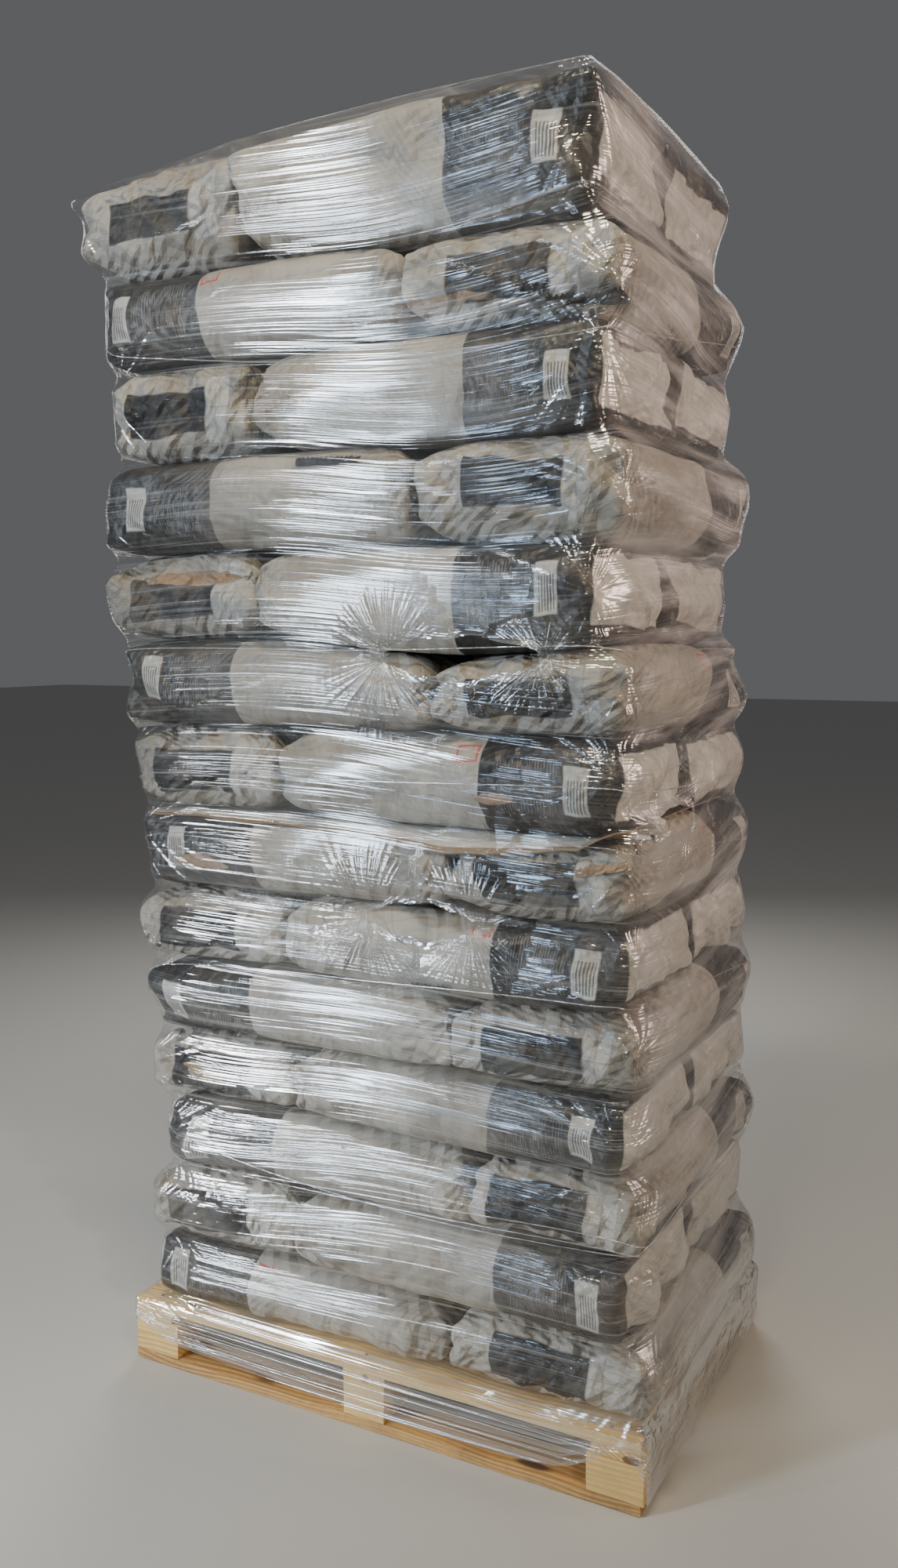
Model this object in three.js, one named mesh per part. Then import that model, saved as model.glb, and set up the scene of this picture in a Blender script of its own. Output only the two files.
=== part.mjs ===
// A pallet of paper sacks under stretch film, in millimetres, +Z up.
// The origin is on the floor under the middle of the pallet. X runs along the 1200 mm side
// and Y along the 800 mm side, with the front at -Y.
import * as THREE from "three";
import { mergeVertices } from "three/addons/utils/BufferGeometryUtils.js";

// Pallet
const palletLength = 1200;
const palletWidth = 800;
const boardThickness = 22;
const blockHeight = 78;
const endBlockLength = 116;
const middleBlockLength = 98;
const blockWidth = 100;
const crossBoardWidth = 100;
const skidWidth = 100;
const outerDeckBoardWidth = 120;
const innerDeckBoardWidth = 100;
const innerDeckBoards = 3;
const deckWeb = 4;
const looseBlockShift = 6;

// Load
const sackLength = 755;
const pairDepth = 804;
const crossSackDepth = 790;
const bottomLayerDepth = 772;
const gap = 0.3;

// Height of each layer, then its left and right edge where it bulges most, bottom layer first.
// The weight above presses the lower layers flatter and nothing presses the top one. The load
// leans to the left on its way up, and no two layers end in line.
const layers = [
  [152, -573, 606],
  [172, -549, 577],
  [152, -520, 590],
  [154, -554, 572],
  [158, -550, 590],
  [164, -571, 568],
  [166, -558, 570],
  [178, -571, 556],
  [178, -598, 556],
  [180, -630, 505],
  [194, -637, 556],
  [198, -620, 511],
  [176, -653, 526],
  [232, -662, 482],
];
const layerCount = layers.length;

// A sack's side from bottom to top: share of its height, and share of the full pull-in there.
const sackProfile = [
  [0, 1],
  [0.13, 0.42],
  [0.36, 0.04],
  [0.64, 0.04],
  [0.87, 0.42],
  [1, 1],
];
const outerPullIn = 52;
const innerPullIn = 16;
const outerCornerRadius = 36;
const innerCornerRadius = 18;

// Sheet of paper between two layers, with its front edge hanging down
const sheetUnderLayer = 8;
const sheetThickness = 1.2;
const sheetStandOff = 0.8;
const flapThickness = 2.1;
const flapRoom = 3.6;
const flapEndLevel = 0.72;

// Stretch film
const filmThickness = 1.6;
const filmHemHeight = 123;
const filmOverTop = 110;
const filmDeckClearance = 0.6;
const filmDeckRadius = 1;

const deckTop = boardThickness * 3 + blockHeight;
const crossBoardBottom = boardThickness + blockHeight;
const deckBottom = crossBoardBottom + boardThickness;
const pointsPerCorner = 3;
const outlinePoints = 4 * pointsPerCorner;

const sackPaper = { color: 0xbdb6a8, roughness: 0.75, metalness: 0 };
const kraftPaper = { color: 0x9a8163, roughness: 0.85, metalness: 0 };
const pineWood = { color: 0xd9bd8c, roughness: 0.8, metalness: 0 };
const skidWood = { color: 0xc79a63, roughness: 0.85, metalness: 0 };
const clearFilm = { color: 0xe3e8ee, roughness: 0.15, metalness: 0, transparent: true, opacity: 0.35 };

const pallet = new THREE.Group();
const load = new THREE.Group();
const object = new THREE.Group();
object.add(pallet, load);

function addPiece(parent, name, geometry, look) {
  const mesh = new THREE.Mesh(geometry, new THREE.MeshStandardMaterial(look));
  mesh.name = name;
  parent.add(mesh);
  return mesh;
}

function addTimber(name, size, centreX, centreY, bottom, look) {
  const mesh = addPiece(pallet, name, new THREE.BoxGeometry(...size), look);
  mesh.position.set(centreX, centreY, bottom + size[2] / 2);
}

// Section drawn in Y and Z, drawn out along X
function extrudedAlongX(section, length) {
  const geometry = new THREE.ExtrudeGeometry(section, { depth: length, bevelEnabled: false });
  const alongX = new THREE.Matrix4().makeBasis(
    new THREE.Vector3(0, 1, 0),
    new THREE.Vector3(0, 0, 1),
    new THREE.Vector3(1, 0, 0),
  );
  return geometry.applyMatrix4(alongX);
}

// Closed skin through a stack of outlines. The outlines run anticlockwise seen from above.
function loft(outlines) {
  const profile = outlines.map((outline, level) => new THREE.Vector2(1, level));
  const geometry = new THREE.LatheGeometry(profile, outlinePoints);
  const position = geometry.attributes.position;
  for (let n = 0; n < position.count; n += 1) {
    const column = Math.floor(n / outlines.length) % outlinePoints;
    const point = outlines[n % outlines.length][column];
    position.setXYZ(n, point.x, point.y, point.z);
  }
  geometry.deleteAttribute("normal");
  geometry.deleteAttribute("uv");
  return mergeVertices(geometry, 1e-3);
}

// Rounded rectangle at height z. The radii are for the corners right-back, left-back,
// left-front and right-front.
function roundedOutline(plan, radii, z) {
  const corners = [
    [plan.right, plan.back, -1, -1],
    [plan.left, plan.back, 1, -1],
    [plan.left, plan.front, 1, 1],
    [plan.right, plan.front, -1, 1],
  ];
  const points = [];
  corners.forEach(([x, y, inwardX, inwardY], corner) => {
    const radius = radii[corner];
    for (let step = 0; step < pointsPerCorner; step += 1) {
      const angle = (Math.PI / 2) * (corner + step / (pointsPerCorner - 1));
      points.push(new THREE.Vector3(
        x + radius * (inwardX + Math.cos(angle)),
        y + radius * (inwardY + Math.sin(angle)),
        z,
      ));
    }
  });
  return points;
}

function centreOutline(plan, z) {
  const centre = new THREE.Vector3((plan.left + plan.right) / 2, (plan.front + plan.back) / 2, z);
  return Array(outlinePoints).fill(centre);
}

function pulledIn(plan, pullIn, share) {
  return {
    left: plan.left + pullIn.left * share,
    right: plan.right - pullIn.right * share,
    front: plan.front + pullIn.front * share,
    back: plan.back - pullIn.back * share,
  };
}

// Layers are counted from 1 at the bottom.
function layerHeight(layer) {
  return layers[layer - 1][0];
}

function layerBottom(layer) {
  let z = deckTop + gap;
  for (let below = 1; below < layer; below += 1) {
    z += layerHeight(below);
  }
  return layer >= sheetUnderLayer ? z + sheetThickness + gap : z;
}

function layerPlan(layer) {
  const [, left, right] = layers[layer - 1];
  const depth = layer === 1 ? bottomLayerDepth : pairDepth;
  return { left, right, front: -depth / 2, back: depth / 2 };
}

function addSack(name, plan, innerSides, layer) {
  const sides = ["left", "right", "front", "back"];
  const pullIn = {};
  sides.forEach((side) => {
    pullIn[side] = innerSides.includes(side) ? innerPullIn : outerPullIn;
  });
  const cornerSides = [["right", "back"], ["left", "back"], ["left", "front"], ["right", "front"]];
  const radii = cornerSides.map((pair) => {
    const meetsNeighbour = pair.some((side) => innerSides.includes(side));
    return meetsNeighbour ? innerCornerRadius : outerCornerRadius;
  });
  const bottom = layerBottom(layer);
  const height = layerHeight(layer) - gap;
  const outlines = sackProfile.map(([level, share]) => (
    roundedOutline(pulledIn(plan, pullIn, share), radii, bottom + height * level)
  ));
  outlines.unshift(centreOutline(plan, bottom));
  outlines.push(centreOutline(plan, bottom + height));
  addPiece(load, name, loft(outlines), sackPaper);
}

// Each layer has one sack across the pallet and two side by side along it, and the
// sack across lies at the other end in every next layer.
function addLayer(layer) {
  const plan = layerPlan(layer);
  const crossAtRight = layer % 2 === 1;
  const seam = crossAtRight ? plan.left + sackLength : plan.right - sackLength;
  const label = `sack_layer${String(layer).padStart(2, "0")}`;
  const pairSide = crossAtRight ? "right" : "left";
  const crossSide = crossAtRight ? "left" : "right";
  const crossDepth = Math.min(crossSackDepth, plan.back - plan.front);

  const cross = { ...plan, front: -crossDepth / 2, back: crossDepth / 2, [crossSide]: seam };
  cross[crossSide] += crossAtRight ? gap / 2 : -gap / 2;
  addSack(`${label}_cross`, cross, [crossSide], layer);

  const pair = { ...plan, [pairSide]: seam };
  pair[pairSide] += crossAtRight ? -gap / 2 : gap / 2;
  addSack(`${label}_front`, { ...pair, back: -gap / 2 }, [pairSide, "back"], layer);
  addSack(`${label}_back`, { ...pair, front: gap / 2 }, [pairSide, "front"], layer);
}

// Deck of five boards along X, joined by a thin web half way up the gaps between them
function addDeck() {
  const edges = [outerDeckBoardWidth];
  const used = 2 * outerDeckBoardWidth + innerDeckBoards * innerDeckBoardWidth;
  const boardGap = (palletWidth - used) / (innerDeckBoards + 1);
  for (let board = 0; board < innerDeckBoards; board += 1) {
    const start = edges[edges.length - 1] + boardGap;
    edges.push(start, start + innerDeckBoardWidth);
  }
  edges.push(palletWidth - outerDeckBoardWidth);

  const webLow = (boardThickness - deckWeb) / 2;
  const webHigh = webLow + deckWeb;
  const section = new THREE.Shape();
  section.moveTo(0, 0);
  for (let n = 0; n < edges.length; n += 2) {
    section.lineTo(edges[n], 0);
    section.lineTo(edges[n], webLow);
    section.lineTo(edges[n + 1], webLow);
    section.lineTo(edges[n + 1], 0);
  }
  section.lineTo(palletWidth, 0);
  section.lineTo(palletWidth, boardThickness);
  for (let n = edges.length - 1; n > 0; n -= 2) {
    section.lineTo(edges[n], boardThickness);
    section.lineTo(edges[n], webHigh);
    section.lineTo(edges[n - 1], webHigh);
    section.lineTo(edges[n - 1], boardThickness);
  }
  section.lineTo(0, boardThickness);
  section.closePath();

  const geometry = extrudedAlongX(section, palletLength);
  geometry.translate(-palletLength / 2, -palletWidth / 2, deckBottom);
  addPiece(pallet, "deck_boards", geometry, pineWood);
}

function addPallet() {
  const columns = [
    ["left", -1, endBlockLength],
    ["middle", 0, middleBlockLength],
    ["right", 1, endBlockLength],
  ];
  const rows = [["front", -1], ["centre", 0], ["back", 1]];
  const rowY = (palletWidth - skidWidth) / 2;
  rows.forEach(([row, side]) => {
    addTimber(`skid_${row}`, [palletLength, skidWidth, boardThickness], 0, side * rowY, 0, skidWood);
  });
  columns.forEach(([column, end, length]) => {
    const boardX = end * (palletLength - crossBoardWidth) / 2;
    const boardSize = [crossBoardWidth, palletWidth, boardThickness];
    addTimber(`cross_board_${column}`, boardSize, boardX, 0, crossBoardBottom, pineWood);
    rows.forEach(([row, side]) => {
      const isLoose = column === "right" && row === "front";
      const blockX = end * (palletLength - length) / 2 + (isLoose ? looseBlockShift : 0);
      const blockSize = [length, blockWidth, blockHeight];
      addTimber(`block_${column}_${row}`, blockSize, blockX, side * rowY, boardThickness, pineWood);
    });
  });
  addDeck();
}

// The sheet lies on the layer below and its front edge follows that layer's shoulder down.
function addSheet() {
  const layer = sheetUnderLayer - 1;
  const plan = layerPlan(layer);
  const bottom = layerBottom(layer);
  const height = layerHeight(layer) - gap;
  const [midLevel, midShare] = sackProfile[3];
  const [shoulderLevel, shoulderShare] = sackProfile[4];
  const flapShare = midShare
    + (shoulderShare - midShare) * (flapEndLevel - midLevel) / (shoulderLevel - midLevel);
  const top = bottom + height + gap;
  const frontAt = (share) => plan.front + outerPullIn * share - sheetStandOff;
  const under = [
    [plan.back - outerPullIn, top],
    [frontAt(1), top],
    [frontAt(shoulderShare), bottom + height * shoulderLevel],
    [frontAt(flapShare), bottom + height * flapEndLevel],
  ];
  const over = [
    [under[3][0] - flapThickness, under[3][1]],
    [under[2][0] - flapThickness, under[2][1]],
    [under[1][0], top + sheetThickness],
    [under[0][0], top + sheetThickness],
  ];
  const section = new THREE.Shape([...under, ...over].map(([y, z]) => new THREE.Vector2(y, z)));
  const left = plan.left + outerPullIn + outerCornerRadius;
  const right = plan.right - outerPullIn - outerCornerRadius;
  const geometry = extrudedAlongX(section, right - left);
  geometry.translate(left, 0, 0);
  addPiece(load, "slip_sheet", geometry, kraftPaper);
}

// Every ring of the film is the outline of the load at that height, so the film goes in
// between the layers and out over the deck. It is open below and over the middle of the top.
function filmStations() {
  const allRound = { left: outerPullIn, right: outerPullIn, front: outerPullIn, back: outerPullIn };
  const deckPlan = {
    left: -palletLength / 2 - filmDeckClearance,
    right: palletLength / 2 + filmDeckClearance,
    front: -palletWidth / 2 - filmDeckClearance,
    back: palletWidth / 2 + filmDeckClearance,
  };
  const stations = [
    { plan: deckPlan, radius: filmDeckRadius, z: filmHemHeight },
    { plan: deckPlan, radius: filmDeckRadius, z: deckTop + filmDeckClearance },
  ];
  const radius = outerCornerRadius + gap;
  for (let layer = 1; layer <= layerCount; layer += 1) {
    const plan = layerPlan(layer);
    const bottom = layerBottom(layer);
    const height = layerHeight(layer) - gap;
    const firstLevel = layer === 1 ? 2 : 1;
    const frontRoom = layer === sheetUnderLayer - 1 ? flapRoom : 0;
    for (let level = firstLevel; level < sackProfile.length - 1; level += 1) {
      const [share, pull] = sackProfile[level];
      const ring = pulledIn(plan, allRound, pull);
      const room = level > 2 ? frontRoom : 0;
      stations.push({ plan: grown(ring, gap, room), radius, z: bottom + height * share });
    }
    const crest = pulledIn(plan, allRound, 1);
    if (layer < layerCount) {
      const above = pulledIn(layerPlan(layer + 1), allRound, 1);
      const waist = {
        left: Math.min(crest.left, above.left),
        right: Math.max(crest.right, above.right),
        front: Math.min(crest.front, above.front),
        back: Math.max(crest.back, above.back),
      };
      const waistZ = (bottom + height + layerBottom(layer + 1)) / 2;
      stations.push({ plan: grown(waist, gap, frontRoom), radius, z: waistZ });
    } else {
      const z = bottom + height + gap;
      stations.push({ plan: grown(crest, gap, 0), radius, z, lifted: true });
      stations.push({ plan: grown(crest, gap - filmOverTop, 0), radius, z, lifted: true });
    }
  }
  return stations;
}

function grown(plan, amount, extraFront) {
  return {
    left: plan.left - amount,
    right: plan.right + amount,
    front: plan.front - amount - extraFront,
    back: plan.back + amount,
  };
}

function addFilm() {
  const stations = filmStations();
  const inner = stations.map(({ plan, radius, z }) => roundedOutline(plan, Array(4).fill(radius), z));
  const outer = stations.map(({ plan, radius, z, lifted }, n) => {
    const isLipEdge = n === stations.length - 1;
    const spread = isLipEdge ? 0 : filmThickness;
    const rise = lifted ? filmThickness : 0;
    return roundedOutline(grown(plan, spread, 0), Array(4).fill(radius + spread), z + rise);
  });
  addPiece(load, "stretch_film", loft([...outer, ...inner.reverse(), outer[0]]), clearFilm);
}

addPallet();
for (let layer = 1; layer <= layerCount; layer += 1) {
  addLayer(layer);
}
addSheet();
addFilm();

export default object;
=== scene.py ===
import math
import random
import bmesh
import bpy
import numpy as np
from mathutils import Matrix, Vector, noise


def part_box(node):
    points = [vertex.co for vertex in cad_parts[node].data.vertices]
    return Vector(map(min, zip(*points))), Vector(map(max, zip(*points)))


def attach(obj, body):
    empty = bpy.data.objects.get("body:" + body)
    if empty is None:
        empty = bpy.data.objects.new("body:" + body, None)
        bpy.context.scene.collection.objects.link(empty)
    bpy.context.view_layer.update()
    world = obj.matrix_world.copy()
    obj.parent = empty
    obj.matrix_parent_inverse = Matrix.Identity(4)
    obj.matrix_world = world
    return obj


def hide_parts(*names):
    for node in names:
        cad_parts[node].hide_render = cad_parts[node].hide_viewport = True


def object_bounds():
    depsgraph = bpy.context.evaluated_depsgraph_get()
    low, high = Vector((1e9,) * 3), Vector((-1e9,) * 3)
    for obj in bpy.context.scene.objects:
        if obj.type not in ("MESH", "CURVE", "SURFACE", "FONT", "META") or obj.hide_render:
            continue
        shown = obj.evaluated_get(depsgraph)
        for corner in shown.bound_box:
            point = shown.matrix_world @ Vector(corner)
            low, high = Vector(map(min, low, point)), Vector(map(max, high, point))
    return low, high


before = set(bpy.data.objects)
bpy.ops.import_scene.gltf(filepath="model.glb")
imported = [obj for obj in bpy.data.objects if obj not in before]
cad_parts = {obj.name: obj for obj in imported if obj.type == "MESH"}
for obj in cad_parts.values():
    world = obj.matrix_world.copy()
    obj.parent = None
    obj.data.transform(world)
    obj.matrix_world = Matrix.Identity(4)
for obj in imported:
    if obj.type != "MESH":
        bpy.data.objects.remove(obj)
noise.seed_set(4)      # without it noise_vector differs from run to run
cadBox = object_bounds()
scene = bpy.context.scene
layerCount = 14
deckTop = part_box("deck_boards")[1].z


# Camera

cameraView = {
    "place": (1.336, -2.567, 1.633),
    "yaw": 27.6,          # degrees from +Y towards -X
    "pitch": -6.54,
    "roll": -0.156,
    "lens": 30.09,
    "sensor": 36,
}


def makeCamera(view):
    camera = bpy.data.cameras.new("photoCamera")
    camera.lens = view["lens"]
    camera.sensor_width = view["sensor"]
    obj = bpy.data.objects.new("photoCamera", camera)
    turn = Matrix.Rotation(math.radians(view["yaw"]), 4, "Z")
    tilt = Matrix.Rotation(math.radians(90 + view["pitch"]), 4, "X")
    roll = Matrix.Rotation(math.radians(view["roll"]), 4, "Z")
    obj.matrix_world = Matrix.Translation(view["place"]) @ turn @ tilt @ roll
    scene.collection.objects.link(obj)
    scene.camera = obj


makeCamera(cameraView)


# Mesh helpers

def link(obj):
    scene.collection.objects.link(obj)
    return obj


def meshFrom(bm, name):
    mesh = bpy.data.meshes.new(name)
    bm.to_mesh(mesh)
    bm.free()
    return mesh


def linkMesh(mesh, *materials):
    for material in materials:
        mesh.materials.append(material)
    return link(bpy.data.objects.new(mesh.name, mesh))


def coordsOf(mesh):
    co = np.empty(len(mesh.vertices) * 3)
    mesh.vertices.foreach_get("co", co)
    return co.reshape(-1, 3)


def normalsOf(mesh):
    normals = np.empty(len(mesh.vertices) * 3)
    mesh.vertex_normals.foreach_get("vector", normals)
    return normals.reshape(-1, 3)


def setCoords(mesh, co):
    mesh.vertices.foreach_set("co", np.ascontiguousarray(co, dtype=np.float32).ravel())
    mesh.update()


def addAttribute(mesh, name, values):
    values = np.ascontiguousarray(values, dtype=np.float32)
    isVector = values.ndim == 2
    layer = mesh.attributes.new(name, "FLOAT_VECTOR" if isVector else "FLOAT", "POINT")
    layer.data.foreach_set("vector" if isVector else "value", values.ravel())


def smoothShade(obj):
    obj.data.polygons.foreach_set("use_smooth", [True] * len(obj.data.polygons))


def smoothStep(value, low, high):
    share = np.clip((value - low) / (high - low), 0, 1)
    return share * share * (3 - 2 * share)


def noiseAt(co, scale, shift):
    return np.array([noise.noise_vector(Vector(p) * scale + shift) for p in co])


def randomShift(rng):
    return Vector([rng.uniform(0, 50) for _ in range(3)])


def randomDirection(rng):
    return Vector([rng.gauss(0, 1) for _ in range(3)]).normalized()


def gaussRows(values, spread):
    reach = int(math.ceil(spread * 3))
    weights = np.exp(-0.5 * (np.arange(-reach, reach + 1) / spread) ** 2)
    weights /= weights.sum()
    padded = np.pad(values, ((reach, reach), (0, 0)), mode="edge")
    return sum(weight * padded[n:n + len(values)] for n, weight in enumerate(weights))


def gridBox(bm, size, steps):
    bmesh.ops.create_cube(bm, size=1)
    bmesh.ops.scale(bm, vec=size, verts=bm.verts)
    for axis in range(3):
        along = []
        for edge in bm.edges:
            span = abs(edge.verts[0].co[axis] - edge.verts[1].co[axis])
            if span > size[axis] * 0.99:
                along.append(edge)
        cuts = max(1, round(size[axis] / steps[axis])) - 1
        if cuts:
            bmesh.ops.subdivide_edges(bm, edges=along, cuts=cuts, use_grid_fill=True)


# Shader helpers

def newMaterial(name):
    material = bpy.data.materials.new(name)
    material.use_nodes = True
    tree = material.node_tree
    return material, tree, tree.nodes["Principled BSDF"]


def plug(tree, socket, value):
    if isinstance(value, bpy.types.NodeSocket):
        tree.links.new(value, socket)
    elif isinstance(value, (tuple, list)) and len(socket.default_value) == 4 and len(value) == 3:
        socket.default_value = (*value, 1)
    else:
        socket.default_value = value


def newNode(tree, kind, settings, *values, **named):
    node = tree.nodes.new("ShaderNode" + kind)
    for name, value in settings.items():
        setattr(node, name, value)
    for socket, value in zip(node.inputs, values):
        plug(tree, socket, value)
    for name, value in named.items():
        plug(tree, node.inputs[name], value)
    return node


def dress(tree, surface, colour, roughness, normal):
    plug(tree, surface.inputs["Base Color"], colour)
    plug(tree, surface.inputs["Roughness"], roughness)
    plug(tree, surface.inputs["Normal"], normal)


def calc(tree, operation, *values, clamp=False):
    return newNode(tree, "Math", {"operation": operation, "use_clamp": clamp}, *values).outputs[0]


def vectorCalc(tree, operation, *values):
    return newNode(tree, "VectorMath", {"operation": operation}, *values).outputs


def times(tree, *values):
    result = values[0]
    for value in values[1:]:
        result = calc(tree, "MULTIPLY", result, value)
    return result


def ramp(tree, value, low, high, toLow=0.0, toHigh=1.0):
    smooth = {"interpolation_type": "SMOOTHSTEP"}
    return newNode(tree, "MapRange", smooth, value, low, high, toLow, toHigh).outputs["Result"]


def band(tree, value, low, high, soft=0.002):
    rise = ramp(tree, value, low - soft, low + soft)
    fall = ramp(tree, value, high - soft, high + soft, 1.0, 0.0)
    return times(tree, rise, fall)


def mixColour(tree, share, first, second, blend="MIX"):
    node = newNode(tree, "Mix", {"data_type": "RGBA", "blend_type": blend}, share)
    plug(tree, node.inputs[6], first)
    plug(tree, node.inputs[7], second)
    return node.outputs[2]


def noiseNode(tree, vector, scale, detail=3.0, roughness=0.5, output=0):
    node = newNode(tree, "TexNoise", {}, Vector=vector, Scale=scale, Detail=detail, Roughness=roughness)
    return node.outputs[output]


def stretch(tree, vector, scale):
    return newNode(tree, "Mapping", {}, Vector=vector, Scale=scale).outputs[0]


def streakNoise(tree, vector, scale, detail=3.0, roughness=0.5):
    return noiseNode(tree, stretch(tree, vector, scale), 1.0, detail, roughness)


def objectCoords(tree):
    return newNode(tree, "TexCoord", {}).outputs["Object"]


def attribute(tree, name):
    return newNode(tree, "Attribute", {"attribute_name": name}).outputs


def split(tree, vector):
    return newNode(tree, "SeparateXYZ", {}, vector).outputs


def bump(tree, height, strength, distance):
    return newNode(tree, "Bump", {}, Height=height, Strength=strength, Distance=distance).outputs[0]


def newGroup(name, inputs, outputs):
    tree = bpy.data.node_groups.new(name, "ShaderNodeTree")
    for label, kind, start in inputs:
        socket = tree.interface.new_socket(label, in_out="INPUT", socket_type=kind)
        if start is not None:
            socket.default_value = start
    for label, kind in outputs:
        tree.interface.new_socket(label, in_out="OUTPUT", socket_type=kind)
    return tree, tree.nodes.new("NodeGroupInput").outputs, tree.nodes.new("NodeGroupOutput").inputs


def useGroup(tree, group, **values):
    return newNode(tree, "Group", {"node_tree": group}, **values).outputs


# Light and floor

studio = {
    "sky": (0.95, 0.96, 1.0),
    "skyStrength": 0.12,
    "floorSize": 60,
    "floorColour": (0.52, 0.51, 0.49),
    # name, place, aimed at, width, height, watts, spread in degrees, colour
    "lamps": [
        ("windowLamp", (-1.6, -2.9, 1.9), (-0.1, -0.4, 1.1), 0.18, 3.0, 70, 180, (0.72, 0.86, 1.0)),
        ("topLamp", (-1.75, -2.9, 2.7), (-0.25, -0.4, 2.5), 0.2, 0.8, 0.8, 30, (0.95, 0.96, 1.0)),
        ("blueLamp", (-0.8, -2.9, 1.9), (0.4, -0.4, 1.7), 0.1, 2.0, 0.8, 45, (0.50, 0.72, 1.0)),
        ("lowLamp", (-2.1, -2.8, 0.9), (-0.25, -0.4, 0.35), 0.2, 1.0, 2.3, 34, (0.90, 0.95, 1.0)),
        ("glintLamp", (2.5, -2.3, 3.7), (0.5, -0.4, 1.5), 0.2, 0.2, 40, 180, (1.0, 0.84, 0.56)),
        ("warmLamp", (3.3, 0.9, 2.3), (0.5, 0.0, 1.9), 1.0, 1.6, 12.5, 75, (1.0, 0.76, 0.65)),
        ("backLamp", (-1.5, 3.2, 3.2), (0.0, 0.2, 1.3), 1.8, 2.0, 80, 180, (1.0, 0.97, 0.92)),
        ("roofLamp", (0.3, -1.5, 4.8), (0.0, -0.3, 1.4), 0.9, 0.35, 66, 180, (1.0, 0.90, 0.70)),
    ],
}


def makeStudio(form):
    world = bpy.data.worlds.new("studioWorld")
    world.use_nodes = True
    sky = world.node_tree.nodes["Background"].inputs
    sky["Color"].default_value = (*form["sky"], 1)
    sky["Strength"].default_value = form["skyStrength"]
    scene.world = world
    for name, place, target, width, height, watts, spread, colour in form["lamps"]:
        lamp = bpy.data.lights.new(name, "AREA")
        lamp.shape = "RECTANGLE"
        lamp.size = width
        lamp.size_y = height
        lamp.energy = watts
        lamp.spread = math.radians(spread)
        lamp.color = colour
        obj = link(bpy.data.objects.new(name, lamp))
        obj.location = place
        aim = Vector(target) - Vector(place)
        obj.rotation_euler = aim.to_track_quat("-Z", "Y").to_euler()
    bm = bmesh.new()
    bmesh.ops.create_grid(bm, x_segments=1, y_segments=1, size=form["floorSize"] / 2)
    paint, _, surface = newMaterial("floorPaint")
    surface.inputs["Base Color"].default_value = (*form["floorColour"], 1)
    surface.inputs["Roughness"].default_value = 0.85
    linkMesh(meshFrom(bm, "studio_floor"), paint)


makeStudio(studio)
print("studio and camera made")


# Effects that several materials use

def makeCrumple():
    # triangle waves in several directions make flat facets with sharp folds between them
    tree, given, out = newGroup(
        "crumple",
        [("Vector", "NodeSocketVector", None), ("Scale", "NodeSocketFloat", 14.0)],
        [("Height", "NodeSocketFloat"), ("Crease", "NodeSocketFloat")],
    )
    drift = noiseNode(tree, given["Vector"], 6.0, 1.0, output=1)
    bent = vectorCalc(tree, "MULTIPLY_ADD", drift, (0.09, 0.09, 0.09), given["Vector"])[0]
    rng = random.Random(4)
    height, crease = 0.0, 1.0
    for n in range(6):
        pitch = 1.38 ** n
        towards = vectorCalc(tree, "DOT_PRODUCT", bent, randomDirection(rng) * pitch)["Value"]
        wave = calc(tree, "PINGPONG", times(tree, towards, given["Scale"]), 0.5)
        height = calc(tree, "MULTIPLY_ADD", wave, 1 / pitch, height)
        if n < 3:
            crease = calc(tree, "MINIMUM", wave, crease)
    tree.links.new(height, out["Height"])
    tree.links.new(ramp(tree, crease, 0.0, 0.035, 1.0, 0.0), out["Crease"])
    return tree


def makeDust():
    tree, given, out = newGroup(
        "dust",
        [("Vector", "NodeSocketVector", None), ("Colour", "NodeSocketColor", (1, 1, 1, 1)),
         ("Dirt", "NodeSocketColor", (0.3, 0.25, 0.2, 1)), ("Amount", "NodeSocketFloat", 0.5)],
        [("Colour", "NodeSocketColor"), ("Mask", "NodeSocketFloat")],
    )
    wide = ramp(tree, noiseNode(tree, given["Vector"], 5.0, 2.0, 0.6), 0.42, 0.75)
    fine = ramp(tree, noiseNode(tree, given["Vector"], 60.0, 1.0, 0.7), 0.45, 0.75)
    mask = calc(tree, "ADD", times(tree, wide, 0.7), times(tree, fine, 0.3))
    mask = calc(tree, "MULTIPLY", mask, given["Amount"], clamp=True)
    tree.links.new(mixColour(tree, mask, given["Colour"], given["Dirt"]), out["Colour"])
    tree.links.new(mask, out["Mask"])
    return tree


crumple = makeCrumple()
dust = makeDust()


# Sacks

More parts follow.
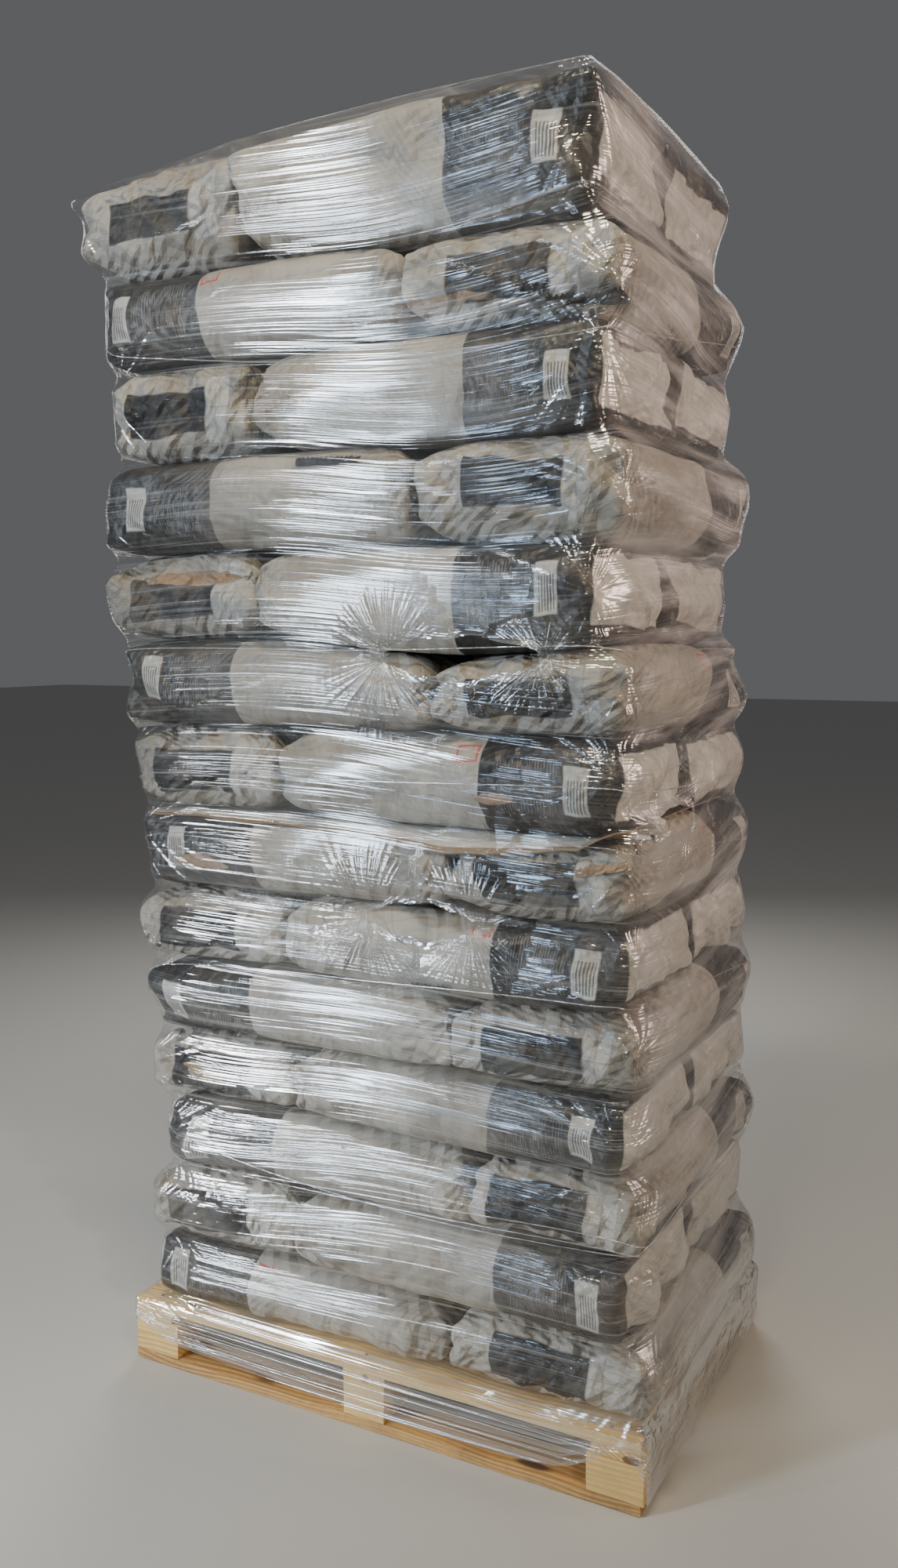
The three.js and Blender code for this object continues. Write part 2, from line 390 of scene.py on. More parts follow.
paperLook = {
    "paper": (0.43, 0.395, 0.34),
    # darker paper tone, also used as painted shade in the creases
    "shade": (0.28, 0.25, 0.205),
    "charcoal": (0.016, 0.0165, 0.018),
    "worn": (0.12, 0.115, 0.11),
    "kraft": (0.34, 0.215, 0.12),
    "dirt": (0.27, 0.22, 0.17),
    "label": (0.50, 0.48, 0.44),
    "endPatch": (0.58, 0.55, 0.49),
    "red": (0.5, 0.05, 0.04),
    "printGrey": (0.30, 0.29, 0.28),
    "mouthDirt": (0.2, 0.17, 0.14),
    "wobble": (0.035, 0.02, 0.02),       # how far the edges of the print waver
    "middle": (0.38, 0.40),              # from the dark end to the light end
    "darkLength": 0.286,                 # the printed band wraps this far from the sack's dark end
    # places on the long side and the light end: from, to, half height
    "panel": (-0.082, 0.12, 0.043),
    "foldPatch": (-0.142, -0.086, 0.062),
    "barLabel": (0.067, 0.114, 0.043),
    "barPitch": 0.0062,
    "patchPlace": (-0.17, 0.185, -0.058, 0.066),      # from, to, lower and upper edge
    "redFrame": (0.292, 0.336, 0.045, 0.075),
    "redLine": 0.004,
    "redShare": (0.64, 0.66),            # sacks whose seed lies above this have the frame
    # ruled blocks in place of print: from, to, half height, pitch, strength
    "lightRules": (0.298, 0.386, 0.045, 0.0052, 0.6),
    "darkRules": (0.128, 0.256, 0.05, 0.0058, 0.35),
    "crumpleScale": 13.0,
    "gloss": (0.62, 0.42),               # roughness of the paper and of the printed band
}


def makeSackPaper(look):
    material, tree, surface = newMaterial("sackPaper")
    where = attribute(tree, "sackPlace")["Vector"]
    face = split(tree, attribute(tree, "sackFace")["Vector"])   # on end, on side, kraft share
    seed = attribute(tree, "sackSeed")["Fac"]
    vector = vectorCalc(tree, "ADD", where, times(tree, seed, 7.0))[0]
    wobble = calc(tree, "SUBTRACT", noiseNode(tree, vector, 7.0, 2.0), 0.5)
    spot = split(tree, where)
    along, across, height = (calc(tree, "MULTIPLY_ADD", wobble, reach, spot[axis])
                             for axis, reach in zip("XYZ", look["wobble"]))
    onEnd = ramp(tree, face["X"], -0.004, 0.004)
    onSide = ramp(tree, face["Y"], -0.006, 0.006)
    nearDark = ramp(tree, along, *look["middle"], 1.0, 0.0)
    nearLight = calc(tree, "SUBTRACT", 1.0, nearDark)
    wrinkle = useGroup(tree, crumple, Vector=vector, Scale=look["crumpleScale"])
    ragged = ramp(tree, streakNoise(tree, vector, (260, 30, 60), 0.0), 0.38, 0.5)

    def area(place, low, high, bottom, top):
        return times(tree, band(tree, place, low, high), band(tree, height, bottom, top))

    def ruled(low, high, half, pitch, strength):
        line = calc(tree, "FRACT", calc(tree, "DIVIDE", along, pitch))
        stroke = ramp(tree, line, 0.38, 0.5, 1.0, 0.0)
        return times(tree, area(along, low, high, -half, half), onSide, stroke, ragged, strength)

    def onLightEnd(low, high, half):
        return times(tree, onEnd, nearLight, area(across, low, high, -half, half))

    shade = noiseNode(tree, vector, 4.0, 2.0, 0.6)
    colour = mixColour(tree, ramp(tree, shade, 0.35, 0.7), look["paper"], look["shade"])
    colour = mixColour(tree, ruled(*look["lightRules"]), colour, look["printGrey"])

    # small empty frame in red on the shoulder of some sacks
    low, high, bottom, top = look["redFrame"]
    line = look["redLine"]
    inner = area(along, low + line, high - line, bottom + line, top - line)
    frameLine = calc(tree, "SUBTRACT", area(along, low, high, bottom, top), inner)
    marked = ramp(tree, calc(tree, "FRACT", seed), *look["redShare"])
    colour = mixColour(tree, times(tree, frameLine, onSide, marked), colour, look["red"])

    # printed band round the dark end, scuffed on the creases
    start = look["darkLength"]
    inBand = ramp(tree, along, start - 0.0015, start + 0.0015, 1.0, 0.0)
    scuff = ramp(tree, noiseNode(tree, vector, 38.0, 2.0, 0.7), 0.56, 0.72)
    scuff = times(tree, scuff, wrinkle["Crease"])
    black = mixColour(tree, times(tree, scuff, 0.7), look["charcoal"], look["worn"])
    black = mixColour(tree, ruled(*look["darkRules"]), black, look["printGrey"])
    colour = mixColour(tree, inBand, colour, black)

    # light label with plain bars in the band
    low, high, half = look["barLabel"]
    label = times(tree, area(along, low, high, -half, half), onSide)
    bar = calc(tree, "FRACT", calc(tree, "DIVIDE", along, look["barPitch"]))
    bars = times(tree, ramp(tree, bar, 0.42, 0.5), band(tree, height, -half + 0.006, half - 0.022),
                 band(tree, along, low + 0.005, high - 0.005, 0.0005), 0.75)
    colour = mixColour(tree, label, colour, mixColour(tree, bars, look["label"], look["charcoal"]))

    # pale patch that closes the dark end
    patch = times(tree, onEnd, nearDark, area(across, *look["patchPlace"]))
    colour = mixColour(tree, patch, colour, look["endPatch"])

    # bare black panel and folded patch on the light end
    panel = mixColour(tree, times(tree, scuff, 0.6), look["charcoal"], look["worn"])
    colour = mixColour(tree, onLightEnd(*look["panel"]), colour, panel)
    low, high, half = look["foldPatch"]
    fold = onLightEnd(low, high, half)
    colour = mixColour(tree, times(tree, fold, 0.8), colour, look["label"])
    fromMiddle = calc(tree, "ABSOLUTE", calc(tree, "SUBTRACT", across, (low + high) / 2))
    nearest = calc(tree, "MINIMUM", fromMiddle, calc(tree, "ABSOLUTE", height))
    crossLine = ramp(tree, calc(tree, "SUBTRACT", nearest, 0.0012), 0.0, 0.0018, 1.0, 0.0)
    colour = mixColour(tree, times(tree, fold, crossLine, 0.6), colour, look["shade"])

    # brown ply where the outer paper is torn
    rip = streakNoise(tree, vector, (14, 20, 40), 2.0, 0.6)
    ripMask = ramp(tree, calc(tree, "MULTIPLY_ADD", rip, 0.8, face["Z"]), 0.86, 0.89)
    colour = mixColour(tree, ripMask, colour, look["kraft"])

    # painted shade: the paper is darkened towards the shade colour along the crumple's fold lines
    paintedCreaseShade = times(tree, wrinkle["Crease"], 0.22)
    colour = mixColour(tree, paintedCreaseShade, colour, look["shade"], "MULTIPLY")
    dusty = useGroup(tree, dust, Vector=vector, Colour=colour, Dirt=look["dirt"], Amount=0.4)
    gloss = ramp(tree, inBand, 0.0, 1.0, *look["gloss"])
    gloss = calc(tree, "MULTIPLY_ADD", dusty["Mask"], 0.25, gloss)
    crumpled = ramp(tree, spot["X"], 0.56, 0.72, 0.9, 2.3)      # more towards the light end
    relief = calc(tree, "MULTIPLY_ADD", wrinkle["Height"], crumpled, times(tree, ripMask, -0.6))
    dress(tree, surface, dusty["Colour"], gloss, bump(tree, relief, 1.0, 0.011))
    return material


sackPaper = makeSackPaper(paperLook)

sackForm = {
    "length": 0.775, "width": 0.402, "height": 0.172,     # filled and pressed between layers
    "step": 0.0116,
    "spareLength": 1.09,         # the flat sack's length over the filled one's
    # the flat sack at each end: share of the filled one's width, and height
    "darkEnd": (1.07, 0.135),
    "lightEnd": (1.13, 0.095),
    "unevenness": 0.007,
    "plate": (1.3, 0.9, 0.03),   # the plates that press the sack while it fills
    "openHeight": 0.28, "closeFrame": 22, "frames": 30, "relax": 4,
    "cloth": {
        "quality": 6, "mass": 0.25, "air_damping": 4,
        "tension_stiffness": 40, "compression_stiffness": 8, "shear_stiffness": 20, "bending_stiffness": 0.7,
        "tension_damping": 15, "compression_damping": 15, "bending_damping": 2,
        "use_pressure": True, "uniform_pressure_force": 14.0,
    },
    "seeds": (3, 11, 24, 37),
    "apart": 2.0,                # the prototypes are filled side by side
    "lump": 0.007, "gather": 0.012,
    "facets": (6, 8, 10, 13, 16), "facetSlope": 0.15,     # folds in each metre, and how steep they are
    "printSlip": (0.012, 0.014, 0.008),
    "swell": (0.007, 0.007, 0.009),      # slow waves through the whole load
    # where the outer ply is torn on the front: middle (x, z), half length and half height
    "rips": ((-0.404, 1.748, 0.15, 0.016), (-0.382, 1.157, 0.08, 0.018), (-0.396, 0.697, 0.075, 0.022),
             (0.184, 2.235, 0.12, 0.010), (0.30, 1.33, 0.05, 0.012)),
    "topPull": 0.03,
    "leftSag": 0.035,            # the top layer's left end has sunk a little
    # joints that sit lower: middle (x, z), reach along and up, drop
    "dips": ((0.2, 1.61, 0.30, 0.10, 0.028),),
}


def flatSack(seed, form, offset):
    shares = [form["darkEnd"], form["lightEnd"]]
    widest = max(share[0] for share in shares)
    tallest = max(share[1] for share in shares)
    size = Vector((form["length"] * form["spareLength"], form["width"] * widest, tallest))
    bm = bmesh.new()
    gridBox(bm, size, (form["step"],) * 3)
    shift = randomShift(random.Random(seed))
    for vert in bm.verts:
        share = vert.co.x / size.x + 0.5              # 0 at the light end, 1 at the dark end
        width = form["lightEnd"][0] + (form["darkEnd"][0] - form["lightEnd"][0]) * share
        height = form["lightEnd"][1] + (form["darkEnd"][1] - form["lightEnd"][1]) * share
        vert.co.y *= width / widest
        vert.co.z *= height / tallest
        vert.co += noise.noise_vector(vert.co * 9 + shift) * form["unevenness"]
    bmesh.ops.translate(bm, vec=(0, offset, 0), verts=bm.verts)
    return linkMesh(meshFrom(bm, "flatSack"))


def pressPlate(form, offset, side, press):
    bm = bmesh.new()
    bmesh.ops.create_cube(bm, size=1)
    bmesh.ops.scale(bm, vec=form["plate"], verts=bm.verts)
    bmesh.ops.translate(bm, vec=(0, offset, 0), verts=bm.verts)
    plate = linkMesh(meshFrom(bm, "pressPlate"))
    press.objects.link(plate)
    plate.modifiers.new("Collision", "COLLISION")
    plate.collision.thickness_outer = 0.002
    plate.collision.cloth_friction = 20
    for at, opening in ((1, form["openHeight"]), (form["closeFrame"], form["height"])):
        plate.location.z = side * (opening / 2 + form["plate"][2] / 2)
        plate.keyframe_insert("location", frame=at)
    return plate


def addPressure(sack, form, press):
    cloth = sack.modifiers.new("Cloth", "CLOTH")
    for name, value in form["cloth"].items():
        setattr(cloth.settings, name, value)
    cloth.settings.effector_weights.gravity = 0
    cloth.collision_settings.distance_min = 0.002
    cloth.collision_settings.collision_quality = 2
    cloth.collision_settings.collection = press      # each sack is pressed by its own two plates only
    cloth.point_cache.frame_start = 1
    cloth.point_cache.frame_end = form["frames"]


def relaxed(mesh, rounds):
    # takes out ripples that are no wider than the mesh's own cells
    bm = bmesh.new()
    bm.from_mesh(mesh)
    for _ in range(rounds):
        bmesh.ops.smooth_vert(bm, verts=bm.verts, factor=0.5,
                              use_axis_x=True, use_axis_y=True, use_axis_z=True)
    bm.to_mesh(mesh)
    bm.free()


def fillSacks(form):
    sacks, plates, presses = [], [], []
    for n, seed in enumerate(form["seeds"]):
        offset = n * form["apart"]
        sacks.append(flatSack(seed, form, offset))
        presses.append(bpy.data.collections.new("press"))
        plates += [pressPlate(form, offset, side, presses[-1]) for side in (-1, 1)]
        addPressure(sacks[-1], form, presses[-1])
    for at in range(1, form["frames"] + 1):
        scene.frame_set(at)
    depsgraph = bpy.context.evaluated_depsgraph_get()
    shapes = []
    for n, sack in enumerate(sacks):
        mesh = bpy.data.meshes.new_from_object(sack.evaluated_get(depsgraph))
        relaxed(mesh, form["relax"])
        co = coordsOf(mesh)
        co[:, 1] -= n * form["apart"]
        low, high = np.percentile(co, 0.25, axis=0), np.percentile(co, 99.75, axis=0)
        setCoords(mesh, (co - (low + high) / 2) / ((high - low) / 2))
        shapes.append(mesh)
    for obj in sacks + plates:
        bpy.data.objects.remove(obj)
    for press in presses:
        bpy.data.collections.remove(press)
    scene.frame_set(1)
    return shapes


sackShapes = fillSacks(sackForm)
print("sacks filled", [len(mesh.vertices) for mesh in sackShapes])


def swollen(co, form):
    wave = noiseAt(co * np.array((1, 1, 1.3)), 2.6, Vector((3.1, 8.2, 1.7)))
    top = cadBox[1].z
    fade = smoothStep(co[:, 2], deckTop, deckTop + 0.25) * smoothStep(-co[:, 2], -top, -top + 0.2)
    swell = wave * np.array(form["swell"]) * fade[:, None]
    sag = form["leftSag"] * smoothStep(-co[:, 0], 0.1, 0.66)
    swell[:, 2] -= sag * smoothStep(co[:, 2], top - 0.25, top)
    for x, z, reachX, reachZ, drop in form["dips"]:
        swell[:, 2] -= drop * np.exp(-((co[:, 0] - x) / reachX) ** 2 - ((co[:, 2] - z) / reachZ) ** 2)
    return co + swell


def placePrint(mesh, co, half, rng, form):
    # the print doesn't sit in quite the same place on any two sacks
    slip = [rng.uniform(-reach, reach) for reach in form["printSlip"]]
    slant = math.radians(rng.uniform(-3, 3))
    across = co[:, 1] * math.cos(slant) - co[:, 2] * math.sin(slant)
    level = co[:, 1] * math.sin(slant) + co[:, 2] * math.cos(slant)
    place = np.stack((half[0] - co[:, 0] + slip[0], across + slip[1], level + slip[2]), 1)
    addAttribute(mesh, "sackPlace", place)
    addAttribute(mesh, "sackSeed", np.full(len(co), rng.uniform(0, 10)))


def creased(mesh, co, half, rng, form):
    normals = normalsOf(mesh)
    shift = randomShift(rng)
    lump = noiseAt(co, 6.0, shift)[:, 0] * form["lump"]
    bent = co + noiseAt(co, 5.0, shift) * 0.03
    facet = np.zeros(len(co))
    for pitch in form["facets"]:
        towards = np.array(randomDirection(rng))
        facet += (np.abs((bent @ towards * pitch + rng.random()) % 1 - 0.5) - 0.25) / pitch
    nearEnd = smoothStep(np.abs(co[:, 0]), half[0] - 0.17, half[0] - 0.02)
    gather = noiseAt(co * np.array((0.35, 1, 1)), 26.0, shift)[:, 2]
    gather = (0.3 - np.abs(gather)) * form["gather"] * nearEnd * np.where(co[:, 0] < 0, 1, 0.5)
    free = 1 - normals[:, 2:3] ** 2
    facet = facet * form["facetSlope"] * (0.8 + 0.7 * nearEnd)
    return co + normals * free * (lump + facet + gather)[:, None]


def pulledTop(co, half, form):
    # the top layer's upper edges stand out where the film holds them
    rise = smoothStep(co[:, 2], 0, half[2]) * form["topPull"]
    for axis in (0, 1):
        outward = smoothStep(np.abs(co[:, axis]), half[axis] * 0.5, half[axis])
        co[:, axis] += np.sign(co[:, axis]) * rise * outward
    co[:, :2] = np.clip(co[:, :2], -half[:2] - 0.004, half[:2] + 0.004)
    return co


def tornShare(co, form):
    torn = np.zeros(len(co))
    for x, z, halfLength, halfHeight in form["rips"]:
        off = ((co[:, 0] - x) / halfLength) ** 2 + ((co[:, 2] - z) / halfHeight) ** 2
        torn = np.maximum(torn, np.where(co[:, 1] < -0.25, np.exp(-off), 0))
    return torn


def makeSack(node, shape, heading, rng, form):
    low, high = (np.array(corner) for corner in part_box(node))
    half = (high - low) / 2
    if heading == "back":
        half = half[[1, 0, 2]]
    mesh = shape.copy()
    mesh.name = node.replace("layer", "paper")
    flips = np.array((1, rng.choice((-1, 1)), rng.choice((-1, 1))))
    co = coordsOf(mesh) * flips * half
    if flips.prod() < 0:
        mesh.flip_normals()
    depth = half - np.abs(co)
    onEnd = np.minimum(depth[:, 1], depth[:, 2]) - depth[:, 0]
    onSide = np.minimum(depth[:, 0], depth[:, 2] + 0.01) - depth[:, 1]
    placePrint(mesh, co, half, rng, form)
    setCoords(mesh, co)
    co = creased(mesh, co, half, rng, form)
    if "layer14" in node:
        co = pulledTop(co, half, form)
    angle = {"right": 0, "back": math.pi / 2, "left": math.pi}[heading]
    turn = np.array(Matrix.Rotation(angle, 3, "Z"))
    co = swollen(co @ turn.T + (low + high) / 2, form)
    setCoords(mesh, co)
    addAttribute(mesh, "sackFace", np.stack((onEnd, onSide, tornShare(co, form)), 1))
    obj = linkMesh(mesh, sackPaper)
    smoothShade(obj)
    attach(obj, "root")
    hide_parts(node)
    return obj


def makeSacks():
    rng = random.Random(5)
    sacks = []
    for layer in range(1, layerCount + 1):
        outer = "left" if layer % 2 else "right"
        for place, heading in (("cross", "back"), ("front", outer), ("back", outer)):
            node = f"sack_layer{layer:02d}_{place}"
            shape = sackShapes[rng.randrange(len(sackShapes))]
            sacks.append(makeSack(node, shape, heading, rng, sackForm))
    return sacks


sacks = makeSacks()
print("sacks stacked", len(sacks))


# Slip sheet between two layers

sheetForm = {
    "left": -0.53, "right": 0.60,
    "back": 0.36, "shoulder": -0.345,
    "thickness": 0.0009,
    "steps": (0.009, 0.0105, 0.002),
    "flap": 0.09,                # hangs out at the front
    # lower edge along the front, from left to right: place and height
    "edge": ((-0.53, 1.255), (-0.21, 1.250), (0.0, 1.243), (0.18, 1.222), (0.36, 1.232), (0.46, 1.244),
             (0.53, 1.282), (0.60, 1.302)),
    "corner": (0.5, 0.06, 0.026),        # where it turns up: middle, reach, how far out
    "white": ((0.60, 0.57, 0.51), (0.47, 0.43, 0.37)),       # bleached side
    "brown": ((0.30, 0.20, 0.115), (0.17, 0.11, 0.06)),      # raw back
    "dirt": (0.2, 0.16, 0.12),
}


def makeSheetPaper(form):
    material, tree, surface = newMaterial("kraftSheet")
    where = objectCoords(tree)
    side = attribute(tree, "sheetSide")["Fac"]
    fibre = streakNoise(tree, where, (30, 30, 30), 3.0, 0.7)
    white = mixColour(tree, fibre, *form["white"])
    brown = mixColour(tree, fibre, *form["brown"])
    paper = mixColour(tree, ramp(tree, side, 0.4, 0.9), brown, white)
    dusty = useGroup(tree, dust, Vector=where, Colour=paper, Dirt=form["dirt"], Amount=0.5)
    crease = useGroup(tree, crumple, Vector=where, Scale=22.0)
    dress(tree, surface, dusty["Colour"], 0.6, bump(tree, crease["Height"], 0.7, 0.003))
    return material


def frontOfLoad(points, x, z, reachX, reachZ):
    near = points[(np.abs(points[:, 0] - x) < reachX) & (np.abs(points[:, 2] - z) < reachZ)]
    return near[:, 1].min() if len(near) else -0.35


def frontOfFlap(x, form):
    near = [coordsOf(obj.data) for obj in sacks if "paper07" in obj.name or "paper08" in obj.name]
    points = np.concatenate(near)
    points = points[points[:, 1] < -0.2]
    columns = np.linspace(form["left"], form["right"], 120)
    levels = np.interp(columns, *zip(*form["edge"]))
    front = np.array([frontOfLoad(points, *place, 0.02, 0.015) for place in zip(columns, levels)])
    front = gaussRows(front[:, None], 2)[:, 0] - 0.004
    return np.interp(x, columns, front)


def makeSlipSheet(form):
    left, right, back, shoulder = (form[name] for name in ("left", "right", "back", "shoulder"))
    length, depth = right - left, back - shoulder + form["flap"]
    bm = bmesh.new()
    gridBox(bm, (length, depth, form["thickness"]), form["steps"])
    mesh = meshFrom(bm, "slip_sheet_paper")
    co = coordsOf(mesh)
    side = ((co[:, 2] > 0) & (co[:, 1] > 0.016 - depth / 2)).astype(float)
    curl = 1 + 3 * smoothStep(-co[:, 1], depth / 2 - 0.012, depth / 2)
    thick = (co[:, 2] - form["thickness"] / 2) * curl
    x = co[:, 0] + (left + right) / 2
    run = depth / 2 - co[:, 1]                       # 0 at the back edge
    flat = back - shoulder
    seat = (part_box("sack_layer07_front")[1].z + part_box("sack_layer08_front")[0].z) / 2
    edge = np.interp(x, *zip(*form["edge"]))
    over = np.clip((run - flat) / form["flap"], 0, 1) * (1 - 0.6 * smoothStep(x, 0.5, 0.6))
    y = np.where(run < flat, back - run, shoulder + (frontOfFlap(x, form) - shoulder) * over)
    middle, reach, out = form["corner"]
    y = y - out * (np.exp(-((x - middle) / reach) ** 2) * over ** 2)
    z = seat + (edge - seat) * over ** 1.4
    z = z + 0.004 * over * np.array([noise.noise(Vector((a * 14, 0.2, 3.3))) for a in x]) + thick
    pulled = smoothStep(-y, 0.2, 0.38)              # only its front corner sticks out on the right
    x = np.where(x > 0.4, 0.4 + (x - 0.4) * (0.55 + 0.45 * pulled), x)
    swell = swollen(np.stack((x, y, z), 1), sackForm)
    swell[:, 1] = swell[:, 1] * (1 - over) + y * over
    swell[:, 2] = swell[:, 2] * (1 - over) + z * over
    setCoords(mesh, swell)
    addAttribute(mesh, "sheetSide", side)
    obj = linkMesh(mesh, makeSheetPaper(form))
    smoothShade(obj)
    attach(obj, "root")
    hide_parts("slip_sheet")
    return obj


slipSheet = makeSlipSheet(sheetForm)
print("slip sheet laid")


# Zigzag mouths of the sacks that stick out of the joints

mouthForm = {
    "tooth": 0.011,
    "height": 0.013,
    # name, from and to along the front, height at each end, colour
    "strips": (
        ("upper", 0.289, 0.532, 2.212, 2.204, "charcoal"),
        ("middle", -0.14, 0.009, 1.966, 1.960, "charcoal"),
        ("seam", -0.024, 0.05, 1.443, 1.461, "charcoal"),
        ("folded", 0.459, 0.554, 1.202, 1.222, "kraft"),
        ("lower", 0.086, 0.199, 0.940, 0.952, "charcoal"),
    ),
}


def makeMouthPaper(name, look):
    material, tree, surface = newMaterial("mouth" + name.capitalize())
    where = objectCoords(tree)
    dusty = useGroup(tree, dust, Vector=where, Colour=look[name], Dirt=look["mouthDirt"], Amount=0.5)
    crease = useGroup(tree, crumple, Vector=where, Scale=40.0)
    dress(tree, surface, dusty["Colour"], 0.55, bump(tree, crease["Height"], 0.5, 0.002))
    return material


def makeMouths(form, look):
    load = np.concatenate([coordsOf(obj.data) for obj in sacks])
    load = load[load[:, 1] < -0.2]
    papers = {shade: makeMouthPaper(shade, look) for shade in ("charcoal", "kraft")}
    strips = []
    for name, start, end, startLevel, endLevel, shade in form["strips"]:
        teeth = round((end - start) / form["tooth"])
        bm = bmesh.new()
        bmesh.ops.create_grid(bm, x_segments=teeth * 2, y_segments=3, size=0.5)
        for vert in bm.verts:
            share = vert.co.x + 0.5
            x = start + (end - start) * share
            wave = 0.003 * noise.noise(Vector((x * 30, 0, 1)))
            level = startLevel + (endLevel - startLevel) * share + wave
            rise = vert.co.y + 0.5
            isTip = round(share * teeth * 2) % 2 == 0
            z = level + (rise - 0.5) * form["height"] + (0.005 if isTip and rise > 0.9 else 0)
            vert.co = Vector((x, frontOfLoad(load, x, z, 0.012, 0.012) - 0.0012 - 0.003 * rise, z))
        bmesh.ops.solidify(bm, geom=bm.faces, thickness=0.0006)
        bmesh.ops.recalc_face_normals(bm, faces=bm.faces)
        obj = linkMesh(meshFrom(bm, f"mouth_{name}"), papers[shade])
        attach(obj, "root")
        strips.append(obj)
    return strips


mouths = makeMouths(mouthForm, paperLook)
print("mouths made")


# Pallet

woodLook = {
    "pine": ((0.88, 0.60, 0.23), (0.50, 0.28, 0.10), (0.20, 0.11, 0.05)),     # light, line, knot
    "skid": ((0.66, 0.40, 0.15), (0.34, 0.17, 0.06), (0.10, 0.055, 0.03)),
    "stain": (0.07, 0.055, 0.045),
    "pineStain": 0.24, "skidStain": 0.5,
    # dark spot at the near corner, painted shade in a waney notch: x, z, half length, half height
    "paintedNotchShade": (0.581, 0.108, 0.019, 0.009),
    "nail": (0.2, 0.17, 0.15),
}


def makeGrain():
    tree, given, out = newGroup(
        "grain",
        [("Vector", "NodeSocketVector", None), ("Light", "NodeSocketColor", (1, 1, 1, 1)),
         ("Line", "NodeSocketColor", (0.5, 0.4, 0.3, 1)), ("Knot", "NodeSocketColor", (0.2, 0.1, 0.05, 1))],
        [("Colour", "NodeSocketColor"), ("Height", "NodeSocketFloat")],
    )
    bend = streakNoise(tree, given["Vector"], (2.5, 9, 9), 1.0)
    spot = split(tree, given["Vector"])
    ring = calc(tree, "MULTIPLY_ADD", bend, 7.0, times(tree, spot["Y"], 60.0))
    ring = calc(tree, "ADD", ring, times(tree, spot["Z"], 85.0))
    saw = calc(tree, "FRACT", ring)
    line = times(tree, ramp(tree, saw, 0.0, 0.75), ramp(tree, saw, 0.8, 1.0, 1.0, 0.0))
    fibre = streakNoise(tree, given["Vector"], (6, 260, 260), 2.0, 0.6)
    knotCell = newNode(tree, "TexVoronoi", {}, Scale=1.0,
                       Vector=stretch(tree, given["Vector"], (3.2, 11, 11)))
    knot = ramp(tree, knotCell.outputs["Distance"], 0.09, 0.17, 1.0, 0.0)
    patchy = ramp(tree, bend, 0.3, 0.7, 0.15, 0.9)
    colour = mixColour(tree, times(tree, line, patchy), given["Light"], given["Line"])
    colour = mixColour(tree, ramp(tree, fibre, 0.45, 0.8, 0.0, 0.45), colour, given["Line"])
    colour = mixColour(tree, knot, colour, given["Knot"])
    height = calc(tree, "MULTIPLY_ADD", line, -0.4, fibre)
    tree.links.new(colour, out["Colour"])
    tree.links.new(height, out["Height"])
    return tree


grain = makeGrain()


def makeWood(name, kind, look):
    material, tree, surface = newMaterial(name)
    vector = attribute(tree, "woodPlace")["Vector"]
    where = objectCoords(tree)
    light, line, knot = look[kind]
    wood = useGroup(tree, grain, Vector=vector, Light=light, Line=line, Knot=knot)
    dusty = useGroup(tree, dust, Vector=where, Colour=wood["Colour"], Dirt=look["stain"],
                     Amount=look[kind + "Stain"])
    # painted shade: a dark spot on the front where the notch at the near corner lies in shade
    x, z, halfLength, halfHeight = look["paintedNotchShade"]
    spot = split(tree, where)
    offX = calc(tree, "DIVIDE", calc(tree, "SUBTRACT", spot["X"], x), halfLength)
    offZ = calc(tree, "DIVIDE", calc(tree, "SUBTRACT", spot["Z"], z), halfHeight)
    off = calc(tree, "ADD", times(tree, offX, offX), times(tree, offZ, offZ))
    off = calc(tree, "ADD", off, times(tree, noiseNode(tree, where, 90.0, 1.0), 0.9))
    onFront = ramp(tree, spot["Y"], -0.385, -0.37, 1.0, 0.0)
    patch = times(tree, ramp(tree, off, 1.2, 1.5, 1.0, 0.0), onFront)
    colour = mixColour(tree, patch, dusty["Colour"], knot)
    dress(tree, surface, colour, 0.78, bump(tree, wood["Height"], 0.5, 0.0012))
    return material


def makeNailSteel(look):
    material, tree, surface = newMaterial("nailSteel")
    surface.inputs["Base Color"].default_value = (*look["nail"], 1)
    surface.inputs["Metallic"].default_value = 0.8
    rust = noiseNode(tree, objectCoords(tree), 300.0, 2.0)
    plug(tree, surface.inputs["Roughness"], ramp(tree, rust, 0.3, 0.7, 0.35, 0.75))
    return material


timberForm = {
    "step": 0.014, "lengthStep": 0.03,
    "arris": 0.0018,
    "rough": 0.0007, "roughEdge": 2.6,
    "boards": (0.12, 0.10, 0.10, 0.10, 0.12),      # widths of the deck boards, from the front
    "nailHead": 0.0042, "nailDepth": 0.0012,
    "nailInset": 0.028, "nailStray": 0.02,
    "nailRows": (-0.55, 0.0, 0.55),
}


def makeTimber(name, low, high, grainAxis, material, rng, form):
    low, high = Vector(low), Vector(high)
    size = high - low
    steps = [form["step"]] * 3
    steps[grainAxis] = form["lengthStep"]
    bm = bmesh.new()
    gridBox(bm, size, steps)
    sharp = [edge for edge in bm.edges if edge.calc_face_angle(0) > 1]
    bmesh.ops.bevel(bm, geom=sharp, offset=form["arris"], segments=2, profile=0.5, affect="EDGES",
                    material=-1)
    mesh = meshFrom(bm, name)
    co = coordsOf(mesh)
    order = {0: (0, 1, 2), 1: (1, 0, 2)}[grainAxis]
    shift = np.array([rng.uniform(0, 40) for _ in range(3)])
    addAttribute(mesh, "woodPlace", co[:, order] + shift)
    half = np.array(size) / 2
    wobble = noiseAt(co, 16.0, Vector(shift))
    edgeward = np.sort(half - np.abs(co), axis=1)[:, 1:2] < 0.004      # on or beside an edge
    inward = -np.sign(co) * np.abs(wobble) * np.where(edgeward, form["roughEdge"], 1.0) * form["rough"]
    setCoords(mesh, co + inward + np.array((low + high) / 2))
    return linkMesh(mesh, material)


